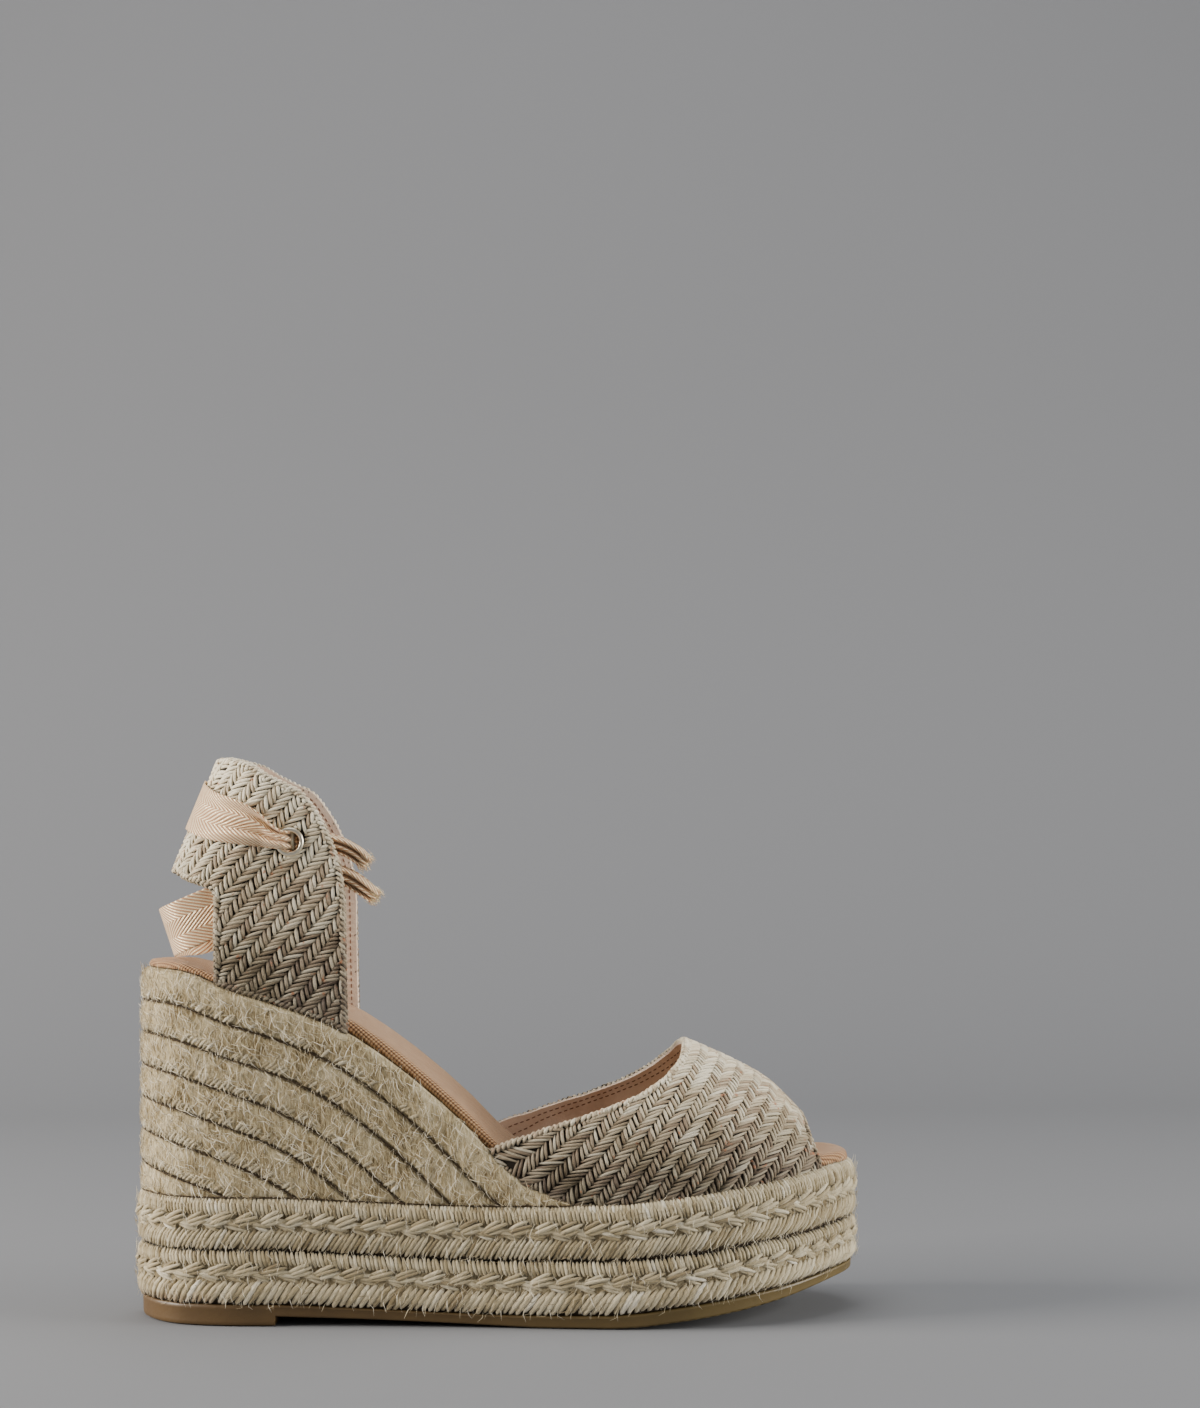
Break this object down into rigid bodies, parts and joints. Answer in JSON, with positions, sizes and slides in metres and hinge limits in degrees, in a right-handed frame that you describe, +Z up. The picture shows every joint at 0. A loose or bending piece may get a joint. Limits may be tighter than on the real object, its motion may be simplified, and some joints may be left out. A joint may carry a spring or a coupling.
{
  "type": "espadrille sandal",
  "caption": "Right-foot wedge espadrille sandal: rope wedge on braided platform, rubber sole, woven open-toe vamp, woven heel quarter with eyelets and ribbon.",
  "frame": {"origin": "centre of the box on the floor: mid-length and mid-width of the platform, at the level that heel block and ball stand on", "axes": "+X to the toe, +Y to the medial side, +Z up from the floor"},
  "size_m": [0.233, 0.0824, 0.178],
  "materials": {
    "gum_rubber": "moulded gum rubber, satin",
    "braided_jute": "plaited natural jute, matte",
    "jute_rope": "twisted natural jute, matte and fuzzy",
    "insole_canvas": "plain-weave cotton canvas, matte",
    "woven_raffia": "herringbone raffia braid, slight sheen",
    "upper_lining": "smooth lining leather, soft satin",
    "eyelet_metal": "pale gold plate, polished",
    "twill_ribbon": "herringbone twill tape with metallic thread"
  },
  "bodies": {
    "root": {"outsole": "gum_rubber", "platform_lower": "braided_jute", "platform_upper": "braided_jute", "wedge": "jute_rope", "insole": "insole_canvas", "vamp": "woven_raffia", "heel_quarter": "woven_raffia", "eyelet_lateral": "eyelet_metal", "eyelet_medial": "eyelet_metal", "ribbon_band": "twill_ribbon", "ribbon_tail_long": "twill_ribbon", "ribbon_tail_short": "twill_ribbon"}
  },
  "joints": []
}
